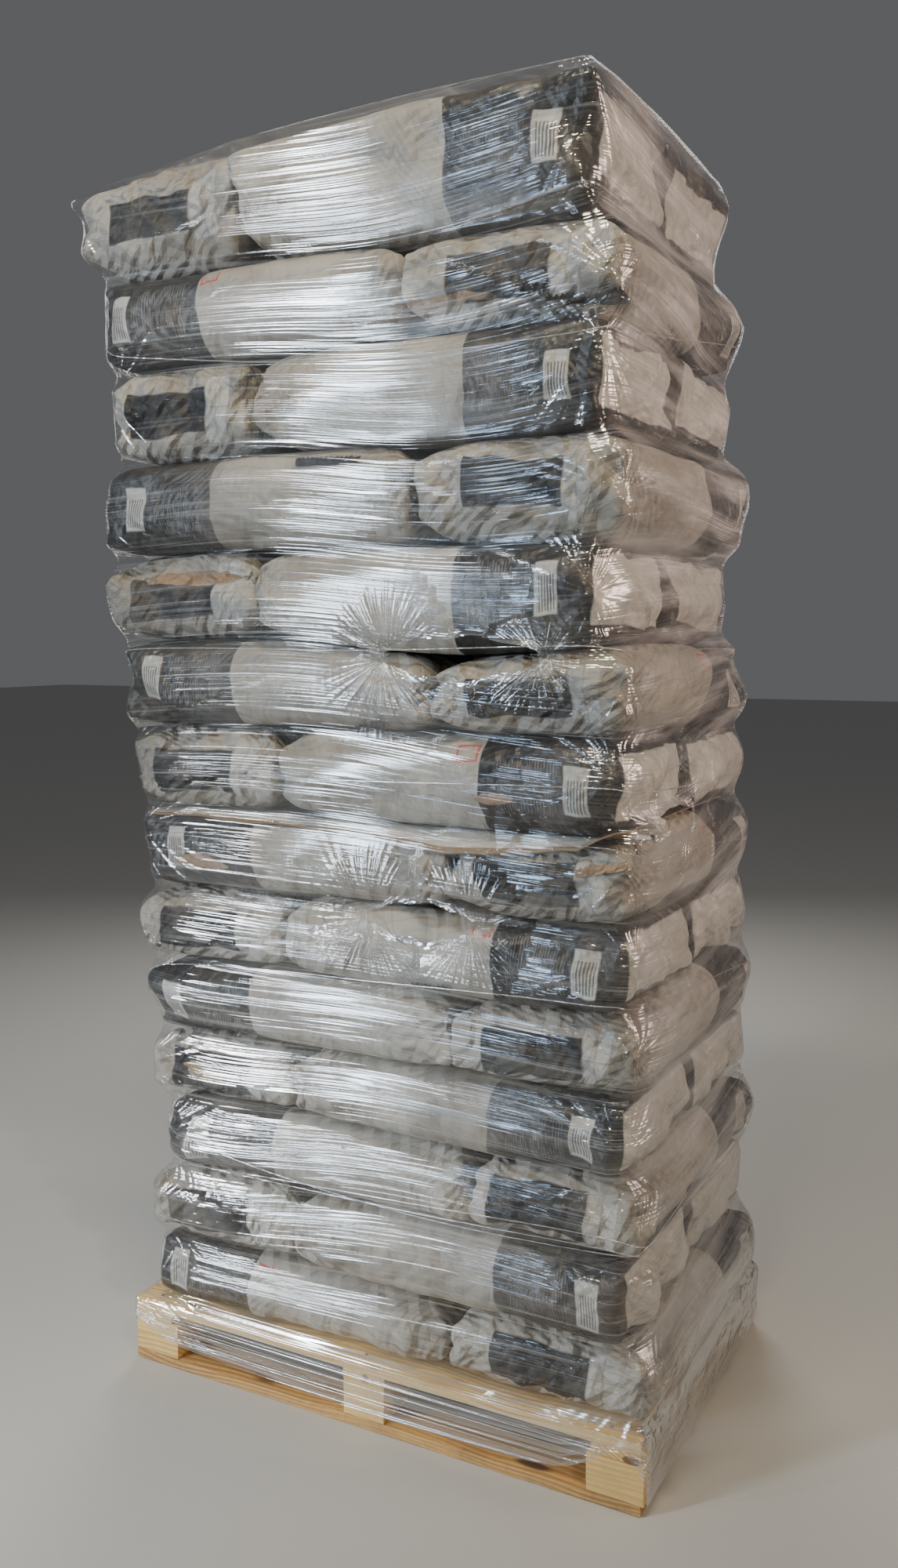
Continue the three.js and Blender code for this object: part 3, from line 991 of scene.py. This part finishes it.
def layNails(boards, top, steel, rng, form):
    bm = bmesh.new()
    for board in boards:
        ys = [corner[1] for corner in board.bound_box]
        middle = (min(ys) + max(ys)) / 2
        for x in form["nailRows"]:
            for side in (-1, 1):
                made = bmesh.ops.create_cone(bm, cap_ends=True, segments=12, radius1=form["nailHead"],
                                             radius2=form["nailHead"] * 0.85, depth=form["nailDepth"])
                across = middle + side * form["nailInset"]
                place = (x + rng.uniform(-form["nailStray"], form["nailStray"]), across, top + 0.0001)
                bmesh.ops.translate(bm, vec=place, verts=made["verts"])
    return linkMesh(meshFrom(bm, "deck_nails"), steel)


def makePallet(form, look):
    rng = random.Random(8)
    pine = makeWood("palePine", "pine", look)
    skid = makeWood("sawnSkid", "skid", look)
    steel = makeNailSteel(look)
    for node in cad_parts:
        lengthwise = node.startswith(("block_", "skid_"))
        if not lengthwise and not node.startswith("cross_board_"):
            continue
        name = node.replace("_", "_timber_", 1) if lengthwise else node.replace("board", "timber")
        wood = skid if "skid" in node else pine
        obj = makeTimber(name, *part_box(node), 0 if lengthwise else 1, wood, rng, form)
        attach(obj, "root")
        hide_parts(node)
    low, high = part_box("deck_boards")
    space = (high.y - low.y - sum(form["boards"])) / (len(form["boards"]) - 1)
    y = low.y
    boards = []
    for n, width in enumerate(form["boards"]):
        ends = (low.x, y, low.z), (high.x, y + width, high.z)
        boards.append(makeTimber(f"deck_timber_{n + 1}", *ends, 0, pine, rng, form))
        y += width + space
    nails = layNails(boards, high.z, steel, rng, form)
    nails.parent = boards[0]
    for n, board in enumerate(boards):
        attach(board, "root")
        if n == 0:
            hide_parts("deck_boards")


makePallet(timberForm, woodLook)
print("pallet made")


# Stretch film

filmLook = {
    "index": 4.0,                 # many turns mirror far more than one sheet does
    "clear": (0.13, 0.135, 0.14),
    "milky": (0.60, 0.62, 0.65),
    # painted reflection: warm brown that the cloudy film on the right face takes in place of reflected warm
    # surroundings
    "paintedWarmReflection": (0.50, 0.42, 0.38),
    # painted shade: dark brown for the film on the right face low down and in front of the fork pockets
    "paintedShadeColour": (0.10, 0.075, 0.06),
    "haze": (0.09, 0.22),         # alpha where the film is thinnest and where many turns lie on each other
    # what each of these adds to it
    "streaks": 0.30,
    "rope": 0.42,
    "rim": 0.55,                  # round the tears
    "veil": 0.24,                 # cloudy film on the right face
    "closed": 0.65,               # and where it hangs loose in front of the fork pockets there, nearly opaque so that its painted shade colour stands in for the dark pockets
    "strings": 0.42,              # stretched lines of the skirt
    "edge": 0.30,                 # where it is seen from the side
}


def makeFilmShader(look):
    material, tree, surface = newMaterial("clearFilm")
    surface.inputs["IOR"].default_value = look["index"]
    surface.inputs["Specular IOR Level"].default_value = 1.0
    run = attribute(tree, "filmRun")["Vector"]
    fan = split(tree, attribute(tree, "filmFan")["Vector"])        # angle, distance, strength
    made = split(tree, attribute(tree, "filmMade")["Vector"])      # rope, tear's rim, looseness
    coarse = streakNoise(tree, run, (0.8, 0.8, 78), 2.0, 0.75)
    fine = streakNoise(tree, run, (2, 2, 330), 0.0)
    strand = streakNoise(tree, run, (0.5, 0.5, 170), 1.0, 0.6)
    cloud = streakNoise(tree, run, (2.2, 2.2, 7), 2.0, 0.6)
    crinkle = streakNoise(tree, run, (14, 14, 26), 2.0, 0.65)
    broad = streakNoise(tree, run, (2.2, 2.2, 19), 3.0, 0.55)
    spread = noiseNode(tree, newNode(tree, "CombineXYZ", {}, fan["X"]).outputs[0], 5.0, 1.0, 0.6)
    level = split(tree, objectCoords(tree))["Z"]
    low = ramp(tree, level, deckTop, deckTop + 0.04, 1.0, 0.0)
    closed = ramp(tree, made["Z"], 1.0, 2.0)

    # what makes the film opaque, one after another
    onRight = ramp(tree, made["Z"], 0.0, 1.0)
    streak = times(tree, ramp(tree, coarse, 0.46, 0.68), ramp(tree, fine, 0.35, 0.65))
    streak = times(tree, streak, ramp(tree, made["Z"], 0.0, 1.0, 1.0, 0.45))
    veil = times(tree, onRight, ramp(tree, broad, 0.34, 0.66, 0.35, 1.6))
    strings = times(tree, low, ramp(tree, strand, 0.46, 0.6))
    facing = newNode(tree, "LayerWeight", {}, Blend=0.35).outputs["Facing"]
    edge = calc(tree, "POWER", facing, 2.5)
    alpha = ramp(tree, cloud, 0.3, 0.75, *look["haze"])
    parts = {"streaks": streak, "rope": made["X"], "rim": made["Y"], "veil": veil, "closed": closed,
             "strings": strings, "edge": edge}
    for name, mask in parts.items():
        alpha = calc(tree, "MULTIPLY_ADD", mask, look[name], alpha, clamp=name == "edge")
    plug(tree, surface.inputs["Alpha"], alpha)

    white = calc(tree, "MAXIMUM", streak, calc(tree, "MAXIMUM", made["X"], made["Y"]))
    white = calc(tree, "MAXIMUM", white, strings)
    colour = mixColour(tree, white, look["clear"], look["milky"])
    # painted shade: the right face's film gets darker towards the bottom
    lower = ramp(tree, level, 0.1, 1.7, 0.75, 0.0)
    # painted reflection: the cloudy film on the right face takes a warm brown, mixed towards the painted
    # shade colour low down
    colour = mixColour(tree, veil, colour, mixColour(tree, lower, look["paintedWarmReflection"], look["paintedShadeColour"]))
    # painted shade: in front of the fork pockets the film takes the dark colour of the shade inside them
    colour = mixColour(tree, closed, colour, look["paintedShadeColour"])
    sheen = calc(tree, "MULTIPLY_ADD", veil, 0.22, ramp(tree, cloud, 0.3, 0.7, 0.06, 0.15))

    # striae, crinkles, and folds that spread from the sacks' corners, in millimetres
    relief = times(tree, coarse, ramp(tree, low, 0.0, 1.0, 5.0, 0.8))
    relief = calc(tree, "MULTIPLY_ADD", fine, ramp(tree, low, 0.0, 1.0, 0.9, 0.2), relief)
    relief = calc(tree, "MULTIPLY_ADD", strand, ramp(tree, low, 0.0, 1.0, 0.0, 1.1), relief)
    rough = calc(tree, "MULTIPLY_ADD", fan["Z"], 2.6, ramp(tree, low, 0.0, 1.0, 0.35, 0.05))
    rough = calc(tree, "MULTIPLY_ADD", calc(tree, "MAXIMUM", made["Y"], made["Z"]), 5.0, rough)
    relief = calc(tree, "MULTIPLY_ADD", crinkle, rough, relief)
    folds = times(tree, spread, fan["Y"], fan["Z"])
    relief = calc(tree, "MULTIPLY_ADD", folds, 130.0, relief)
    dress(tree, surface, colour, sheen, bump(tree, relief, 1.0, 0.001))
    return material


clearFilm = makeFilmShader(filmLook)

filmForm = {
    "columns": 280,
    "rowStep": 0.0095,
    "skirtRows": 18,
    "lipRows": 9,
    "lip": 0.11,
    "directions": 240,
    "slack": 0.0022,
    "spread": 1.7,        # how far the film bridges the joints between layers, in rows
    # half length and half width of the load, the deck and the skirt, then the film's gap to the deck
    "loadHalf": (0.57, 0.40),
    "deckHalf": (0.6, 0.4),
    "skirtHalf": (0.6025, 0.4025),
    "deckGap": 0.0015,
    "flare": 0.010,       # the skirt goes over a cross board's corner that sticks out on the right
    "skirtFront": -0.395, "skirtLines": 0.216,     # its front, and how far its lines spread
    "ripple": 0.0016,
    "wander": 0.075,      # how far the striae rise and fall
    "fanReach": 0.15,
    "tearReach": 0.10, "rimHeight": 0.010, "knotReach": 0.07, "knotStrength": 2.2,
    "tornFace": 0.3,      # what lies further out than this belongs to a face with tears
    # how far the film's corner sticks out at the top left, its height and direction, and their reach
    "ear": (0.028, 2.53, -2.57, 0.02, 0.05),
    "looseFold": 0.009,   # folds in the loose film on the right face
    # ropes: from and to this height, how many, thickness, rise round the load, waviness
    "ropes": ((0.3, 2.45, 9, 0.0011, 0.12, 0.004), (0.055, 0.12, 9, 0.0011, 0.02, 0.0008)),
    # hem height above the floor: front from left to right, then the other sides
    "hemFront": ((-0.6, 0.10), (-0.5, 0.055), (0.0, 0.036), (0.44, 0.046), (0.49, 0.075),
                 (0.52, 0.114), (0.59, 0.121), (0.6025, 0.05)),
    "hemRight": 0.018, "hemLeft": 0.085, "hemBack": 0.07,
    "ragged": (0.0015, 0.006),       # front, other sides
    # tears: side, middle along the side, middle height, half length, half height
    "tears": (
        ("front", 0.228, 1.585, 0.162, 0.033),
        ("front", 0.137, 1.078, 0.112, 0.030),
        ("right", -0.19, 1.282, 0.10, 0.013),
    ),
}


def columnAngles(form):
    # the film's columns stand closer together at the load's corners
    halfX, halfY = form["loadHalf"]
    corners = np.array([halfY, halfY + 2 * halfX, 3 * halfY + 2 * halfX, 3 * halfY + 4 * halfX])
    total = 4 * (halfX + halfY)
    s = np.linspace(0, total, 4001)
    near = np.abs(s[:, None] - corners).min(1)
    density = np.cumsum(1 + 2.2 * np.exp(-(near / 0.055) ** 2))
    density = (density - density[0]) / (density[-1] - density[0])
    s = np.interp(np.arange(form["columns"]) / form["columns"], density, s)
    # walk round from the middle of the right side, anticlockwise seen from above
    stops = [0, *corners, total]
    x = np.interp(s, stops, [halfX, halfX, -halfX, -halfX, halfX, halfX])
    y = np.interp(s, stops, [0, halfY, halfY, -halfY, -halfY, 0])
    return np.arctan2(y, x)


def hullRadius(reach, directions, angles):
    cosine = np.cos(angles[None, :] - directions[:, None])
    cosine = np.where(cosine > 0.2, cosine, np.nan)
    return np.array([np.nanmin(row[:, None] / cosine, axis=0) for row in reach])


def leanOf(middles):
    # how far to the right the middle of the load is at each height
    boxes = [[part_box(f"sack_layer{n:02d}_{side}") for side in ("cross", "front")]
             for n in range(1, layerCount + 1)]
    levels = [(cross[0].z + cross[1].z) / 2 for cross, _ in boxes]
    lefts = [min(cross[0].x, front[0].x) for cross, front in boxes]
    rights = [max(cross[1].x, front[1].x) for cross, front in boxes]
    return gaussRows(np.interp(middles, levels, (np.array(lefts) + rights) / 2)[:, None], 20)[:, 0]


def reachOf(edges, lean, directions):
    # how far the load reaches in each direction, row by row
    load = np.concatenate([coordsOf(obj.data) for obj in sacks + mouths + [slipSheet]])
    rows = len(lean)
    rowOf = np.clip(((load[:, 2] - deckTop) / (edges[1] - edges[0])).astype(int), 0, rows - 1)
    order = np.argsort(rowOf, kind="stable")
    load, rowOf = load[order], rowOf[order]
    starts = np.searchsorted(rowOf, np.arange(rows))
    x = load[:, 0] - lean[rowOf]
    reach = np.empty((rows, len(directions)))
    for n, angle in enumerate(directions):
        reach[:, n] = np.maximum.reduceat(x * math.cos(angle) + load[:, 1] * math.sin(angle), starts)
    return reach


def filmRings(lean, middles, edges, angles, form):
    directions = np.arange(form["directions"]) * 2 * math.pi / form["directions"]
    reach = reachOf(edges, lean, directions)
    widest = reach.copy()
    widest[1:] = np.maximum(widest[1:], reach[:-1])
    widest[:-1] = np.maximum(widest[:-1], reach[1:])
    smooth = np.maximum(gaussRows(widest, form["spread"]), reach) + form["slack"]
    halfX, halfY = form["deckHalf"]
    deckReach = halfX * np.abs(np.cos(directions)) + halfY * np.abs(np.sin(directions))
    deckReach = deckReach + form["deckGap"] - lean[0] * np.cos(directions)
    # from the deck's edge the film goes straight up to the bottom layer
    share = np.clip((middles - deckTop) / 0.03, 0, 1)[:, None]
    smooth = np.maximum(smooth, deckReach * (1 - share) + smooth * share)
    radius = hullRadius(smooth, directions, angles)
    ringX = lean[:, None] + radius * np.cos(angles)
    ringY = radius * np.sin(angles)
    length, level, direction, reachZ, reachAngle = form["ear"]
    ear = np.exp(-((middles - level) / reachZ) ** 2)[:, None]
    ear = ear * np.exp(-((angles - direction) / reachAngle) ** 2) * length
    ringX, ringY = ringX + ear * np.cos(angles), ringY + ear * np.sin(angles)
    return radius, np.stack((ringX, ringY, np.repeat(middles[:, None], len(angles), 1)))


def filmSkirt(angles, form):
    # below the deck
    halfX, halfY = form["skirtHalf"]
    cut = 1 / np.maximum(np.abs(np.cos(angles)) / halfX, np.abs(np.sin(angles)) / halfY)
    deckX, deckY = cut * np.cos(angles), cut * np.sin(angles)
    frontHem = np.interp(deckX, *zip(*form["hemFront"]))
    deckEdge = form["deckHalf"][1]
    hem = np.where(deckY < -deckEdge, frontHem, np.where(deckY > deckEdge, form["hemBack"], 0.0))
    side = np.abs(deckY) <= deckEdge
    hem = np.where(side & (deckX > 0), form["hemRight"], hem)
    hem = np.where(side & (deckX < 0), form["hemLeft"], hem)
    hem = gaussRows(np.concatenate([hem[-20:], hem, hem[:20]])[:, None], 2.5)[20:-20, 0]
    hem = np.where(side & (deckX > 0) & (deckY < 0), form["hemRight"], hem)
    ragged = np.array([noise.noise(Vector((x * 22, y * 22, 0.3))) for x, y in zip(deckX, deckY)])
    hem = hem + np.where(deckY < -deckEdge, *form["ragged"]) * ragged
    down = np.linspace(1, 0, form["skirtRows"], endpoint=False)[:, None]
    skirtZ = deckTop + form["deckGap"] - down * (deckTop - hem)
    flare = 1 + (deckX > 0.5) * form["flare"] * smoothStep(down, 0.0, 0.17)
    skirtX = np.repeat(deckX[None], len(down), 0) * flare
    skirtY = np.repeat(deckY[None], len(down), 0)
    return np.stack((skirtX, skirtY, skirtZ))


def filmLip(ring, radius, angles, middle, form):
    # folded in over the top layer
    inward = np.linspace(0, 1, form["lipRows"] + 1)[1:, None]
    wavy = np.array([noise.noise(Vector((math.cos(a) * 3, math.sin(a) * 3, 5.1))) for a in angles])
    wavy = 1 + 0.25 * wavy
    lipX = ring[0] - (ring[0] - middle) / radius * form["lip"] * inward * wavy
    lipY = ring[1] - ring[1] / radius * form["lip"] * inward * wavy
    return np.stack((lipX, lipY, np.full_like(lipX, cadBox[1].z + 0.001)))


def webOf(form):
    # x, y and z of the film's grid: the skirt, the rings round the load, then the lip
    rows = int((cadBox[1].z - deckTop) / form["rowStep"])
    edges = np.linspace(deckTop, cadBox[1].z, rows + 1)
    middles = (edges[:-1] + edges[1:]) / 2
    lean = leanOf(middles)
    angles = columnAngles(form)
    radius, rings = filmRings(lean, middles, edges, angles, form)
    lip = filmLip(rings[:, -1], radius[-1], angles, lean[-1], form)
    return np.concatenate((filmSkirt(angles, form), rings, lip), axis=1)


def faceOf(co, side, middle):
    # distance along the face from a tear's middle, and outwards
    if side == "front":
        return co[:, 0] - middle, -co[:, 1]
    return co[:, 1] - middle, co[:, 0]


def openTears(co, form):
    # the film round a tear is pushed back from a lens-shaped hole and gathers in a raised rim
    gone = np.zeros(len(co), bool)
    rims = np.zeros(len(co))
    reach = form["tearReach"]
    for side, middle, level, halfLength, halfHeight in form["tears"]:
        along, outside = faceOf(co, side, middle)
        along = along / halfLength
        up = co[:, 2] - level
        lens = halfHeight * np.clip(1 - along ** 2, 0, None) * (1 + 0.15 * np.sin(along * 9))
        inReach = (outside > form["tornFace"]) & (np.abs(along) < 1.25) & (np.abs(up) < reach)
        torn = inReach & (np.abs(up) < form["rowStep"] * 0.52) & (lens > 0.004)
        gone |= torn
        squeezed = lens + np.abs(up) * (reach - lens) / reach
        co[:, 2] = np.where(inReach & ~torn, level + np.sign(up) * squeezed, co[:, 2])
        width = 0.019 + 0.012 * np.clip(np.abs(along) - 0.7, 0, 1)
        rim = np.exp(-((np.abs(up) - 0.006) / width) ** 2) * np.clip((1.25 - np.abs(along)) / 0.3, 0, 1)
        rims = np.maximum(rims, np.where(inReach, rim * (0.7 + 0.3 * np.sin(along * 70)), 0))
    return co, gone, rims


def fanFolds(co, grid, form):
    # angle, distance and strength of the folds round the nearest corner of a layer or end of a tear;
    # what is added to the angles makes each fan's folds different
    nearest = np.full(len(co), 9.0)
    fan = np.zeros((len(co), 3))
    for layer in range(1, layerCount + 1):
        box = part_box(f"sack_layer{layer:02d}_cross")
        inLayer = (grid[:, 2] > box[0].z + 0.03) & (grid[:, 2] < box[1].z - 0.03)
        for aimX, aimY in ((1, -0.8), (-1, -0.8), (1, 0.8), (-1, 0.8)):
            tip = grid[inLayer][np.argmax(grid[inLayer] @ (aimX, aimY, 0))]
            off = co - tip
            distance = np.linalg.norm(off, axis=1)
            level = np.linalg.norm(off[:, :2], axis=1)
            nearer = distance < nearest
            nearest = np.where(nearer, distance, nearest)
            angle = np.arctan2(off[:, 2], level + 0.004) + layer * 5.3 + aimX * 11 + aimY * 23
            strength = np.exp(-(distance / form["fanReach"]) ** 2)
            fan = np.where(nearer[:, None], np.stack((angle, distance, strength), 1), fan)
    for n, (side, middle, level, halfLength, _) in enumerate(form["tears"]):
        fromMiddle, outside = faceOf(co, side, middle)
        for end in (-1, 1):
            along = fromMiddle * end - halfLength
            up = co[:, 2] - level
            distance = np.hypot(along, up)
            strength = form["knotStrength"] * np.exp(-(distance / form["knotReach"]) ** 2)
            stronger = (outside > form["tornFace"]) & (strength > fan[:, 2])
            angle = np.arctan2(up, along) * 1.6 + n * 7 + end * 3
            fan = np.where(stronger[:, None], np.stack((angle, distance, strength), 1), fan)
    return fan


def ropeRing(bm, web, column, level, radius, lastY):
    zs = web[2, :, column]
    if level < zs[0] + 0.002 or level > zs[-1]:
        return None
    x = float(np.interp(level, zs, web[0, :, column]))
    y = float(np.interp(level, zs, web[1, :, column]))
    if y > lastY:
        return None
    out = Vector((x, y, 0)).normalized()
    middle = Vector((x, y, level)) + out * radius * 0.8
    ring = []
    for n in range(4):
        turn = n * math.pi / 2
        around = out * math.cos(turn) + Vector((0, 0, math.sin(turn)))
        ring.append(bm.verts.new(middle + around * radius))
    return ring


def layRopes(bm, web, form):
    # edges of the web that rolled up into thin ropes as it went round
    rng = random.Random(12)
    columns = web.shape[2]
    for low, high, count, thickness, climb, waviness in form["ropes"]:
        for _ in range(count):
            start = rng.uniform(low, high)
            rise = rng.uniform(-1, 1) * climb
            radius = thickness * rng.uniform(0.6, 1.3)
            lastY = form["skirtFront"] if high < deckTop else 1      # the low ones are on the front only
            rings = []
            for column in range(columns):
                share = column / columns
                wave = waviness * math.sin(share * 31)
                level = start + rise * math.sin(2 * math.pi * share + low * 9) + wave
                rings.append(ropeRing(bm, web, column, level, radius, lastY))
            for first, second in zip(rings, rings[1:] + rings[:1]):
                if first and second:
                    for n in range(4):
                        bm.faces.new((first[n], second[n], second[(n + 1) % 4], first[(n + 1) % 4]))


def rightFace(co):
    reach = 0.02 + 0.08 * smoothStep(co[:, 2], deckTop, deckTop + 0.1)
    return smoothStep(co[:, 0], 0.40, 0.50) * np.clip((co[:, 1] + 0.402) / reach, 0, 1)


def sheetFrom(web):
    rows, columns = web.shape[1:]
    bm = bmesh.new()
    bmesh.ops.create_grid(bm, x_segments=columns, y_segments=rows - 1, size=1)
    mesh = bpy.data.meshes.new("film_wrap")
    bm.to_mesh(mesh)
    flat = coordsOf(mesh)
    column = np.rint((flat[:, 0] + 1) / 2 * columns).astype(int)
    row = np.rint((flat[:, 1] + 1) / 2 * (rows - 1)).astype(int)
    setCoords(mesh, web[:, row, column % columns].T)
    bm.clear()
    bm.from_mesh(mesh)
    bm.verts.ensure_lookup_table()
    seam = [bm.verts[n] for n in np.nonzero((column == 0) | (column == columns))[0]]
    bmesh.ops.remove_doubles(bm, verts=seam, dist=1e-6)
    bmesh.ops.recalc_face_normals(bm, faces=bm.faces)
    bm.to_mesh(mesh)
    bm.free()
    return mesh


def addFilmMaps(mesh, web, rims, webVerts, form):
    co = coordsOf(mesh)
    rope = (np.arange(len(co)) >= webVerts).astype(float)
    rims = np.pad(rims, (0, len(co) - webVerts))
    slope = noiseAt(co, 1.3, Vector((2, 6, 1)))[:, 0] * smoothStep(co[:, 2], deckTop, deckTop + 0.2)
    # the skirt's stretched lines run from the deck's edge to its hem, closer together where it is short
    hem = np.interp(co[:, 0], *zip(*form["hemFront"]))
    share = np.clip((deckTop - co[:, 2]) / (deckTop - hem), 0, 1)
    onSkirt = (co[:, 1] < form["skirtFront"]) & (co[:, 2] < deckTop)
    lines = deckTop - share * form["skirtLines"] - co[:, 2]
    slope = slope * form["wander"] + np.where(onSkirt, lines, 0)
    loose = rightFace(co) * (1 + smoothStep(deckTop - co[:, 2], -0.15, -0.05))
    addAttribute(mesh, "filmRun", co + np.stack((rope, rope * 0, slope), 1))
    grid = np.stack(web.reshape(3, -1), 1)
    addAttribute(mesh, "filmFan", fanFolds(co, grid, form))
    addAttribute(mesh, "filmMade", np.stack((rope, rims, loose), 1))


def layFilm(form):
    web = webOf(form)
    mesh = sheetFrom(web)
    co = coordsOf(mesh)
    normals = normalsOf(mesh)
    ripple = noiseAt(co * np.array((2.2, 2.2, 34)), 1.0, Vector((4, 1, 7)))[:, 0]
    fold = np.abs(noiseAt(co * np.array((5, 5, 12)), 1.0, Vector((9, 2, 3)))[:, 0])
    co, gone, rims = openTears(co, form)
    sag = np.abs(noiseAt(co * np.array((1, 4, 6.5)), 1.0, Vector((5, 3, 8)))[:, 0])
    lift = np.maximum(ripple, 0) * form["ripple"] + fold * form["ripple"] + rims * form["rimHeight"]
    lift = lift + sag * form["looseFold"] * rightFace(co)
    setCoords(mesh, co + normals * lift[:, None])
    bm = bmesh.new()
    bm.from_mesh(mesh)
    layRopes(bm, web, form)
    bm.to_mesh(mesh)
    addFilmMaps(mesh, web, rims, len(co), form)
    bm.clear()
    bm.from_mesh(mesh)
    bm.verts.ensure_lookup_table()
    bmesh.ops.delete(bm, geom=[bm.verts[n] for n in np.nonzero(gone)[0]], context="VERTS")
    bm.to_mesh(mesh)
    bm.free()
    obj = linkMesh(mesh, clearFilm)
    smoothShade(obj)
    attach(obj, "root")
    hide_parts("stretch_film")
    obj.visible_shadow = False        # clear film hardly shades what it wraps
    obj.visible_diffuse = False
    return obj


film = layFilm(filmForm)
print("film laid", len(film.data.vertices))
